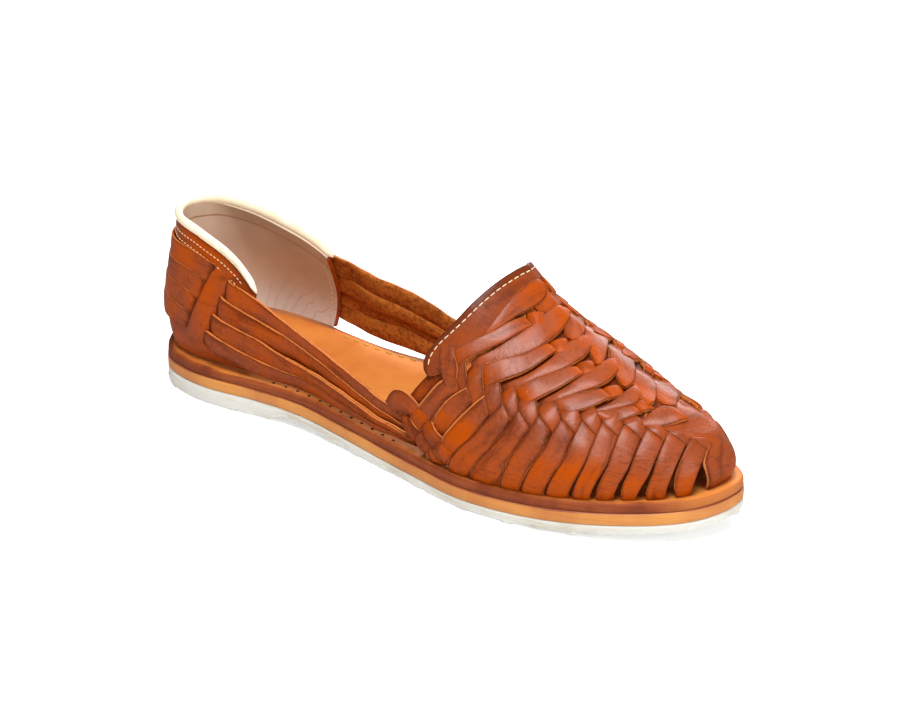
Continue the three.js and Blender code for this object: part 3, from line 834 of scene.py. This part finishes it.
mesh = bmesh.new()
long_straps = [
    [(149.3, 0.385, 152.3, 0.355), (156.9, 0.52, 162, 0.54), (163.7, 0.705, 167.7, 0.707)],
    [(160.8, 0.445, 165, 0.385), (170.6, 0.6, 174.6, 0.54), (174.5, 0.695, 179.2, 0.695)],
    [(174.7, 0.46, 180.3, 0.413), (181.5, 0.6, 187, 0.55), (186.9, 0.69, 191, 0.675)],
    [(188.3, 0.49, 194, 0.45), (194, 0.59, 199, 0.53), (198.3, 0.66, 203.2, 0.635)],
    [(200.8, 0.52, 207.5, 0.505), (205.5, 0.59, 211, 0.55), (210.6, 0.66, 214, 0.625)],
]
squares = [(167.3, 0.765), (178.3, 0.74), (190.0, 0.73), (202.0, 0.695), (212.8, 0.7)]
for mirror in (False, True):
    for begin, middle, end in long_straps:
        before = [value + step for value, step in zip(begin, (-1.5, -0.02, -1.5, -0.02))]
        after = [value + step for value, step in zip(end, (0.8, 0.02, 0.8, 0.02))]
        rows = [
            (*before, -0.6, -0.6), (*begin, 0.4, 0.6), (*middle, 0.3, 0.8), (*end, 0.5, 0.9),
            (*after, -0.6, -0.4),
        ]
        strap(mesh, rows, steps=24, crown=0.15, tone=(-0.2, 1.2, 0.9, -1.0), raw=0.05,
              mirror=mirror)
    for x, over in squares:
        rows = []
        for on, up, lift in ((-3.4, -0.025, -1), (-2.2, 0, 0.5), (0.2, 0.05, 0.5), (1.4, 0.075, -1)):
            rows.append((x + on, over + up, x + on + 4, over + up - 0.05, lift, lift))
        strap(mesh, rows, steps=12, crown=0.3, tone=-1.2, mirror=mirror)
finish_straps(mesh, "long_straps")

# ---- Leaf straps
# Straps that come up from the plait, twist flat and end in rounded leaves over the instep.

mesh = bmesh.new()
leaves = [
    [(151, 0.4, 152.9, 0.44), (155.2, 0.46, 158.5, 0.55), (157.3, 0.6, 162.3, 0.69),
     (159, 0.78, 165.3, 0.83), (160.4, 0.93, 165, 0.95), (161.6, 1.06, 163, 1.05)],
    [(155.6, 0.4, 158.6, 0.37), (161.5, 0.52, 165, 0.48), (166.6, 0.69, 173.4, 0.65),
     (168.4, 0.82, 176.1, 0.8), (170, 0.96, 175.2, 0.95), (171.9, 1.1, 173.4, 1.09)],
    [(168.1, 0.42, 172.8, 0.4), (174.1, 0.51, 177, 0.5), (178.4, 0.63, 184.2, 0.63),
     (180.4, 0.79, 187.7, 0.76), (182.4, 0.89, 187.8, 0.83), (183.6, 0.92, 187.3, 0.86)],
    [(182.6, 0.45, 187, 0.43), (186.7, 0.52, 189.5, 0.5), (190.8, 0.66, 197, 0.65),
     (192.8, 0.77, 199.3, 0.73), (194.4, 0.88, 199.6, 0.81), (195.6, 0.92, 199.2, 0.85)],
    [(198, 0.48, 201, 0.46), (199.9, 0.52, 203.5, 0.52), (203.6, 0.6, 208.6, 0.62),
     (205.5, 0.71, 211.5, 0.69), (206.6, 0.79, 211.4, 0.74), (207.4, 0.82, 210.8, 0.78)],
    [(212, 0.53, 215, 0.5), (216.2, 0.62, 219, 0.55), (217, 0.7, 223, 0.58),
     (219, 0.78, 225.5, 0.62), (223, 0.78, 227.3, 0.66), (227, 0.71, 228.4, 0.69)],
]
lifts = [(-0.9, -0.9), (-0.1, 0), (0.4, 0.6), (0.8, 0.9), (1, 1), (0.7, 0.7)]
for mirror in (False, True):
    for k, leaf in enumerate(leaves):
        if mirror and k < 2:  # the first two end short on the inner side
            leaf = [*leaf[:4], between(leaf[3], leaf[4], 0.5)]
        rows = [(*edges, *lift) for edges, lift in zip(leaf, lifts)]
        strap(mesh, rows, steps=30, across=9, tone=(0.9, 0.8, 0.2, -0.8), mirror=mirror)
finish_straps(mesh, "leaf_straps")

# ---- Spine leaves
# Leaves of the inner side's straps that come over the instep and end in rounded tips on the outer.

mesh = bmesh.new()
spine = [
    [(162.5, 0.8, 166.5, 0.8), (161.5, 0.86, 170, 0.86), (161, 0.93, 171, 0.93),
     (160, 1.05, 170.5, 1.06), (159, 1.2, 168.5, 1.2), (158.5, 1.36, 167, 1.36)],
    [(179, 0.8, 181.2, 0.805), (177.3, 0.82, 182.4, 0.84), (175.6, 0.867, 182.6, 0.885),
     (173.8, 0.95, 181.6, 0.975), (172, 1.05, 179.9, 1.08), (170, 1.15, 177.5, 1.18),
     (167.5, 1.3, 175, 1.34)],
    [(192.2, 0.775, 193, 0.778), (190.2, 0.8, 193.8, 0.8), (188.4, 0.825, 193.7, 0.835),
     (186.8, 0.865, 193, 0.88), (185.3, 0.903, 191.8, 0.935), (183.4, 1, 190.5, 1.04),
     (181.7, 1.1, 188.5, 1.17), (179, 1.26, 186, 1.32)],
    [(203.6, 0.757, 205.2, 0.76), (200.8, 0.79, 206, 0.795), (198.7, 0.83, 205.6, 0.86),
     (195.9, 0.913, 204, 0.94), (194, 1, 202.4, 1.03), (192.2, 1.08, 200, 1.14),
     (189.5, 1.24, 197, 1.28)],
    [(213.4, 0.708, 215.2, 0.715), (211.2, 0.735, 216, 0.755), (209.6, 0.77, 215.6, 0.8),
     (207, 0.84, 214.4, 0.87), (205, 0.905, 212.6, 0.95), (203.2, 0.98, 210.4, 1.04),
     (201, 1.12, 208, 1.18)],
    [(218.4, 0.79, 220.4, 0.795), (215.6, 0.82, 222.6, 0.82), (214, 0.88, 222, 0.87),
     (212.2, 0.96, 220.6, 0.98), (211, 1.04, 220.4, 1.08), (210, 1.16, 219.8, 1.2),
     (209, 1.26, 218, 1.3), (208, 1.34, 216, 1.4)],
]
for k, leaf in enumerate(spine):
    rows = []
    for j, row in enumerate(leaf):
        if k:
            high = (0.9, 1.0, 0.8, 0.6)[j] if j < 4 else 0.5 if j < len(leaf) - 1 else -0.6
            back = 2.8 * smooth(j, 1.5, 3.5)
            rows.append((row[0] - back, *row[1:], high - 0.6 - 0.1 * back, high + 0.1))
        else:
            rows.append((*row, -0.3, -0.1))
    strap(mesh, rows, steps=30, across=11, crown=0.45, tone=(-1.2, -0.8, 1.5, 1.2))
finish_straps(mesh, "spine_leaves")

# ---- Throat band
# A smooth strip over the instep with its rear edge turned in and sewn with cream thread.

band_rows = [
    (141.2, 0.248, 142.2, 0.249, 0.5, 0.7), (139.2, 0.256, 145.6, 0.276, 0.5, 0.9),
    (138.4, 0.278, 149, 0.317, 0.5, 0.7), (138.8, 0.305, 151.5, 0.362, 0.5, 0.4),
    (140.4, 0.34, 153.3, 0.405, 0.5, 0.2), (143.6, 0.4, 155.1, 0.455, 0.5, 0.2),
    (147, 0.483, 157.1, 0.525, 0.5, 0.2), (150.1, 0.587, 159.4, 0.613, 0.5, 0.2),
    (152.4, 0.68, 161.6, 0.7, 0.5, 0.2), (154.4, 0.78, 163.3, 0.79, 0.5, 0.2),
    (155.8, 0.88, 164.4, 0.885, 0.5, 0.2), (156.4, 0.95, 164.9, 0.955, 0.5, 0.2),
]
ridge_row = (156.5, 1.0, 165.0, 1.0, 0.5, 0.2)
far_side = [(x, 2 - a, y, 2 - b, *lifts) for x, a, y, b, *lifts in reversed(band_rows)]
# Its third, pinkish colour paints the sheen
band_skin = leather("band_leather", shade(136, 56, 10), shade(62, 20, 4), shade(122, 54, 25),
                    fold=0.0022)
mesh = bmesh.new()
band_points = strap(mesh, [*band_rows, ridge_row, *far_side], steps=96, across=15, crown=0.25,
                    thick=2.2, tone=0.2)
throat_band = finish_mesh(mesh, "band_strip", [band_skin])
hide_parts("throat_band")



def thread(name, light, dark, relief=True):
    """Twisted thread, which varies between two colours."""
    made, start, shader = new_material(name, Roughness=0.7)
    twist = start.places().noise(1800, 2, 0.5)
    feed(shader, Base_Color=twist.tint(light, dark))
    if relief:
        feed(shader, Normal=twist.bump(0.4, 0.0002))
    return made


def add_stitch(mesh, start_point, end_point, radius):
    """A short round-ended length of thread between two holes."""
    run = Vector(end_point - start_point)
    made = bmesh.ops.create_uvsphere(mesh, u_segments=8, v_segments=6, radius=radius)["verts"]
    turn = run.to_track_quat("Z", "Y").to_matrix()
    middle = Vector((start_point + end_point) / 2 + HEEL)
    for vert in made:
        point = vert.co.copy()
        point.z += math.copysign(max(0.0, run.length / 2 - radius), point.z) if point.z else 0
        vert.co = (turn @ point + middle) / 1000


def run_along(line):
    """How far along a line each of its points is."""
    hops = np.linalg.norm(np.diff(line, axis=0), axis=-1)
    return np.concatenate([[0], np.cumsum(hops)])


def point_on(line, distance):
    return np.array([np.interp(distance, run_along(line), line[:, k]) for k in range(3)])


def stitch_line(mesh, line, pitch, length, radius):
    """Stitches at an even pitch along a line of points."""
    for begin in np.arange(0.4, run_along(line)[-1] - length, pitch):
        add_stitch(mesh, point_on(line, begin), point_on(line, begin + length), radius)


mesh = bmesh.new()
seam = np.array([point_on(row[1:17], 2.7) for row in band_points])
stitch_line(mesh, seam[4:-4], 2.75, 1.9, 0.2)
cream = thread("cream_thread", shade(240, 226, 190), shade(206, 184, 140))
finish_mesh(mesh, "band_stitches", [cream], sharp=180)

# ---- Heel cup
# Leather moulded round the heel down to the sole, lined with pinkish beige kid, with four pairs of
# slits a side that the quarter straps pass through.

# The collar's height by station, and how far forward the cup's front edge is by height.
collar_top = curve([0, 0.04, 0.1, 0.175, 0.21, 0.235], [62, 61.8, 59.6, 53.4, 48.6, 43.5])
cup_front = curve([14, 30, 46], [55.5, 57.0, 55.0])
CUP_ROWS = 30
CUP_WALL = 4.0  # the outer leather and the lining together
SLIT_PITCH = 7  # from one of the four slits down to the next


def under_skin(t, z, depth):
    """A point at a height on the last, at a depth under its skin."""
    rise = rise_of(t, z)
    return on_round(t, rise) - skin_normal(t, rise) * depth


def cup_skin(depth):
    """A sheet of the heel cup at a depth under the last, bottom row first."""
    points = []
    share = np.linspace(-1, 1, 200)
    for j in range(CUP_ROWS):
        t = share * 0.14
        for _ in range(10):
            at = station(t)
            low = foot_height(at) - 0.3
            z = low + (collar_top(at) + 1.7 - low) * j / (CUP_ROWS - 1)
            front = cup_front(z) - 0.2
            t = np.sign(share) * round_of(np.clip(front / LENGTH, 0, 1)) * np.abs(share)
        points.append(under_skin(t, z, depth(at, z)[..., None]))
    return np.array(points)


def slit(z):
    """Station of the front slits, which stand further forward the higher they are."""
    return 0.138 + (z - 22) * 0.0013


def bridge(at, z):
    """The outer leather stands up over the straps between the rear and the front slits."""
    past_rear = smooth(at, slit(z) - 0.04, slit(z) - 0.034)
    over = past_rear * (1 - smooth(at, slit(z) - 0.003, slit(z) + 0.003))
    return 1.7 - 1.6 * over * smooth(z, 21, 25) * (1 - smooth(z, 49.5, 52.5))


def lining_depth(at, z):
    """The lining lies at one depth all over."""
    return CUP_WALL + 0 * z


cup_lining, start, shader = new_material("kid_lining", Roughness=0.55, Coat_Weight=0.05)
place = start.places()
soft = place.noise(40, 3, 0.5)
pores = place.noise(1300, 3, 0.6)
low_down = 1 - place.axis(2).between(0.018, 0.034)
centred = place.make("ShaderNodeMapping", {"Vector": place, "Location": (0.068, -0.028, -0.012)})
ripples = centred.make("ShaderNodeTexWave", {
    "Vector": centred, "Scale": 60.0, "Distortion": 9.0, "Detail": 2.0, "Detail Scale": 1.2,
}, "Fac", wave_type="RINGS", rings_direction="SPHERICAL")
lines = (1 - ripples.between(0.02, 0.2)) * low_down
beige = soft.between(0.3, 0.7).tint(shade(200, 178, 158), shade(182, 158, 136))
beige = (low_down * 0.5).tint(beige, shade(196, 190, 188))
drop = start.named("drop")
facing = 1 - drop.between(0.0056, 0.0060)
facing_edge = drop.between(0.0054, 0.0059) - drop.between(0.0060, 0.0066)
beige = (facing * 0.35).tint(beige, shade(176, 150, 122))
beige = (facing_edge * 0.6).tint(beige, shade(150, 96, 58))
# The wrinkle lines are painted darker as shade, besides their bump
beige = (lines * 0.22).tint(beige, shade(150, 124, 116))
feed(shader, Base_Color=beige, Normal=(pores * 0.2 - lines * 0.5 + facing * 0.6).bump(0.4, 0.0006))

mesh = bmesh.new()
outside = cup_skin(bridge)
inside = cup_skin(lining_depth)
ring = np.concatenate([outside, inside[::-1], outside[:1]])
columns = ring.shape[1]
height = ring[..., 2]
none = 0 * height
around = np.linspace(-60, 60, columns) + none  # the lay's first axis runs round the heel
drop = (np.max(height, axis=0, keepdims=True) - height) / 1000
lay = np.stack([around, height, none], -1) / 1000
add_sheet(mesh, ring, lay=lay, cut=none, flesh=none, tone=none, tuck=none, drop=drop)
for k, face in enumerate(mesh.faces):
    face.material_index = int(k // (columns - 1) >= CUP_ROWS - 1)
heel_cup = finish_mesh(mesh, "cup_wall", [cognac, cup_lining], sharp=60)
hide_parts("heel_cup")

# ---- Heel bands
# The four straps of each side run on round the back of the cup, lapped downwards like boards.

# The height of each band's top edge by station, and of the last one's bottom edge.
band_lines = [
    {0: 56.5, 0.055: 56.8, 0.1: 55.8, 0.135: 53.5, 0.15: 52.4},
    {0: 49.5, 0.055: 50.2, 0.1: 49, 0.135: 46.6, 0.15: 45.6},
    {0: 42.5, 0.055: 43.3, 0.1: 42, 0.135: 39.8, 0.15: 38.8},
    {0: 35.5, 0.055: 36.6, 0.1: 35, 0.135: 33, 0.15: 32},
    {0: 28, 0.055: 28.6, 0.1: 28, 0.135: 26.2, 0.15: 25.2},
]

mesh = bmesh.new()
for k in range(4):
    end = slit(46 - SLIT_PITCH * k) - 0.028
    half = [0.008, 0.025, 0.05, 0.08, end - 0.026, end - 0.014, end - 0.006, end]
    rows = []
    for at in [-at for at in reversed(half)] + half:
        lap = 1.0 if k < 3 else 0.0
        high = -0.3 - 0.9 * smooth(abs(at), end - 0.012, end - 0.002)
        top, bottom = (read_line(line, abs(at)) for line in band_lines[k:k + 2])
        rows.append((at, top, at, bottom - lap, high + 0.15, high - 0.25 * lap))
    strap(mesh, rows, place=by_height(1), steps=64, crown=0.1, thick=1.0, tone=0.0, wander=0.05)
finish_straps(mesh, "heel_bands")

# ---- Quarter straps
# They come out of the front slits of the heel cup and run down to the plait, upper over lower.

# The heights of the straps' edges by station, from the top one down.
outer_lines = [
    {0.16: 50.4, 0.172: 49.6, 0.198: 47.8, 0.219: 47.2, 0.254: 44.4, 0.294: 40.3, 0.334: 36.5,
     0.381: 33.8, 0.428: 31.2, 0.455: 29.5, 0.48: 27.8, 0.51: 26, 0.56: 22.6},
    {0.16: 43.6, 0.175: 42.7, 0.219: 40.1, 0.275: 37.1, 0.321: 33.1, 0.4: 28.4, 0.465: 24.6,
     0.51: 22.2, 0.56: 19.4},
    {0.159: 36.2, 0.203: 33.7, 0.247: 31.7, 0.296: 27.7, 0.338: 25.4, 0.383: 24, 0.43: 22.4,
     0.465: 20.6, 0.51: 18.8, 0.56: 16.6},
    {0.161: 29, 0.194: 26.3, 0.234: 24.4, 0.27: 22.3, 0.3: 21.4, 0.355: 20, 0.43: 17.8,
     0.51: 16, 0.56: 14.2},
    {0.15: 22.5, 0.192: 19.1, 0.222: 18.1, 0.249: 16.6, 0.275: 16, 0.332: 14.9, 0.378: 14.4,
     0.426: 14.2, 0.469: 13.6, 0.51: 13, 0.56: 12.2},
]
inner_lines = [
    {0.16: 50, 0.208: 47.4, 0.241: 45.9, 0.277: 44.9, 0.326: 43.8, 0.374: 42.4, 0.427: 37.6,
     0.453: 33.6, 0.51: 28, 0.56: 24.6},
    {0.16: 42, 0.237: 39, 0.299: 37.4, 0.373: 35.3, 0.446: 28.5, 0.51: 23, 0.56: 20.4},
    {0.16: 34, 0.24: 32, 0.3: 31.2, 0.37: 30.4, 0.44: 25, 0.51: 19.4, 0.56: 17.2},
    {0.16: 27, 0.231: 25.5, 0.299: 25.5, 0.373: 26.2, 0.43: 21.4, 0.51: 16.6, 0.56: 14.6},
    {0.16: 20.8, 0.23: 18.4, 0.275: 18.2, 0.324: 18.1, 0.372: 17.6, 0.41: 16.4, 0.46: 14.4,
     0.51: 13.2, 0.56: 12.2},
]
for side, lines, name in ((1, outer_lines, "outer"), (-1, inner_lines, "inner")):
    mesh = bmesh.new()
    for k in range(4):
        rows = []
        begin = slit(47 - SLIT_PITCH * k) - 0.012
        stations = [begin + step for step in (0, 0.008, 0.016, 0.026)]
        stations += [0.21, 0.25, 0.29, 0.33, 0.37, 0.41, 0.45, 0.49, 0.525, 0.56]
        for at in stations:
            shown = smooth(at, begin + 0.008, begin + 0.022)
            lap = (0.9 if k < 3 else 0.0) * shown
            lift = -1.7 + 2.2 * shown
            lift = lift - 1.6 * smooth(at, 0.49, 0.55)
            if side < 0:
                lift = lift - (0.0, 1.3, 0.0, 1.2)[k] * smooth(at, 0.23, 0.27)
            apart = 0.8 * smooth(at, 0.25, 0.31) * (side > 0)  # the middle two stand off each other
            top, bottom = (read_line(line, at) for line in lines[k:k + 2])
            rows.append((at, top - 0.15, at, bottom - lap, lift + 0.3 + apart * (k == 2),
                         lift - 0.5 * (k < 3) - apart * (k == 1)))
        strap(mesh, rows, place=by_height(side), steps=60, across=9, thick=1.4, raw=0.04,
              crown=0.3 if side > 0 else (0.1, 0.1, -0.9, -0.9, -0.9, -0.9),
              tone=(0.1, -0.5, -0.2, 0.3)[k], extra_shade=0.18)
    finish_straps(mesh, f"quarter_straps_{name}")

# ---- Collar binding
# A strip of cream leather rolled over the cup's top edge and sewn under it with two rows.

cream_skin, start, shader = new_material("cream_binding", Roughness=0.45, Coat_Weight=0.1)
place = start.places()
soft = place.noise(120, 3, 0.5)
grain = place.noise(1400, 2, 0.6)
hue = soft.between(0.3, 0.75).tint(shade(244, 234, 208), shade(232, 216, 180))
feed(shader, Base_Color=hue, Normal=(grain * 0.4 + soft).bump(0.3, 0.0004))

mesh = bmesh.new()
end = float(round_of(0.228))
steps = 150
t = np.linspace(-end, end, steps)
z = collar_top(station(t))
middle = under_skin(t, z, 2.6)
middle[:, 2] = z + 2.3
out = skin_normal(t, rise_of(t, z))
up = np.array([0, 0, 1.0])
tube = []
for angle in np.linspace(0, TURN, 17):
    tube.append(middle + out * np.cos(angle) * 1.6 + up * np.sin(angle) * 2.1)
points = np.array(tube).transpose(1, 0, 2)
for k, share in ((0, 0.35), (1, 0.75), (steps - 2, 0.75), (steps - 1, 0.35)):  # its ends draw in
    core = points[k, :-1].mean(0)
    points[k] = core + (points[k] - core) * share
add_sheet(mesh, points)
binding = finish_mesh(mesh, "binding_roll", [cream_skin], sharp=80)
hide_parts("collar_binding")

# Two rows under the roll, and one down each front edge of the lining.
mesh = bmesh.new()
for drop in (1.6, 4.0):
    t = np.linspace(-end, end, 260) * 0.93
    z = collar_top(station(t)) - drop
    stitch_line(mesh, under_skin(t, z, 1.55), 2.0, 1.3, 0.24)
for side in (-1, 1):
    z = np.linspace(19, 44, 60)
    t = side * round_of((cup_front(z) - 3.0) / LENGTH)
    stitch_line(mesh, under_skin(t, z, CUP_WALL + 0.05), 2.4, 1.5, 0.24)
tan_thread = thread("tan_thread", shade(226, 188, 150), shade(190, 140, 100))
finish_mesh(mesh, "cup_stitches", [tan_thread], sharp=180)

# ---- Sole stitching
# Holes for the lock stitch along the insole's edge, open on the outer waist, sewn on the inner. The
# open holes are dark beads that paint the shade inside them.

hole_shade, start, shader = new_material("painted_hole_shade", Roughness=0.9)
place = start.places()
speck = place.noise(900, 2, 0.5)
feed(shader, Base_Color=speck.tint(shade(70, 34, 16), shade(40, 18, 10)))


def sole_stitch(mesh, t, inset, above, half, radius):
    """A stitch or hole on the insole, at an inset from its edge."""
    spot = np.array([*(plan(t) + inward(t) * inset), insole_top(station(t)) + above])
    add_stitch(mesh, spot - [half, 0, 0], spot + [half, 0, 0], radius)


mesh = bmesh.new()
for x in np.arange(67.4, 132.0, 5.5):
    sole_stitch(mesh, round_of(x / LENGTH), 3.0, 0.05, 0.6, 0.42)
finish_mesh(mesh, "insole_holes", [hole_shade], sharp=180)

gold = thread("gold_thread", shade(214, 176, 66), shade(176, 130, 40), relief=False)
mesh = bmesh.new()
for x in np.arange(64.0, 112.0, 5.2):
    sole_stitch(mesh, 1 - round_of(x / LENGTH), 4.2, 0.1, 1.3, 0.38)
finish_mesh(mesh, "insole_stitches", [gold], sharp=180)

# ---- Floor, light and camera
# A white floor in white surroundings, with one soft light overhead, one behind the shoe and a
# weaker one off its toe.

white, start, shader = new_material("white_floor", Roughness=0.9, Specular_IOR_Level=0.1)
shader.inputs["Emission Color"].default_value = (0.95, 0.97, 1.0, 1)
shader.inputs["Emission Strength"].default_value = 0.3
place = start.places()
even = place.noise(3, 1, 0.5)
feed(shader, Base_Color=even.tint((0.93, 0.93, 0.93, 1), (0.94, 0.94, 0.94, 1)))
mesh = bmesh.new()
bmesh.ops.create_grid(mesh, x_segments=8, y_segments=8, size=4)
data = bpy.data.meshes.new("floor")
mesh.to_mesh(data)
mesh.free()
data.materials.append(white)
floor = add_object("floor", data)
floor.visible_glossy = False

world = bpy.data.worlds.new("studio")
world.use_nodes = True
surroundings = world.node_tree.nodes["Background"]
surroundings.inputs["Color"].default_value = (1, 1, 1, 1)
surroundings.inputs["Strength"].default_value = 0.27
bpy.context.scene.world = world

for name, spot, size, power in (
    ("overhead_softbox", (0.12, -0.2, 0.85), 0.4, 9.5),
    ("back_softbox", (-0.2, 0.85, 0.55), 0.6, 9.0),
    ("toe_softbox", (0.85, -0.3, 0.4), 0.5, 3.5),
):
    light = bpy.data.lights.new(name, "AREA")
    light.shape = "SQUARE"
    light.size = size
    light.energy = power
    lamp = add_object(name, light)
    lamp.location = spot
    lamp.rotation_euler = (-Vector(spot)).to_track_quat("-Z", "Y").to_euler()

bpy.context.scene.view_settings.view_transform = "Standard"
lens = bpy.data.cameras.new("camera")
lens.lens = 77.19
lens.sensor_width = 36
camera = add_object("camera", lens)
aim = Vector((112.695, 37.064, 9.565))  # in millimetres, with the heel at 10.2
eye = Vector((508.735, -515.357, 326.531))
camera.location = (eye + Vector((HEEL[0] - 10.2, HEEL[1], 0))) / 1000
camera.rotation_euler = (aim - eye).to_track_quat("-Z", "Y").to_euler()
bpy.context.scene.camera = camera
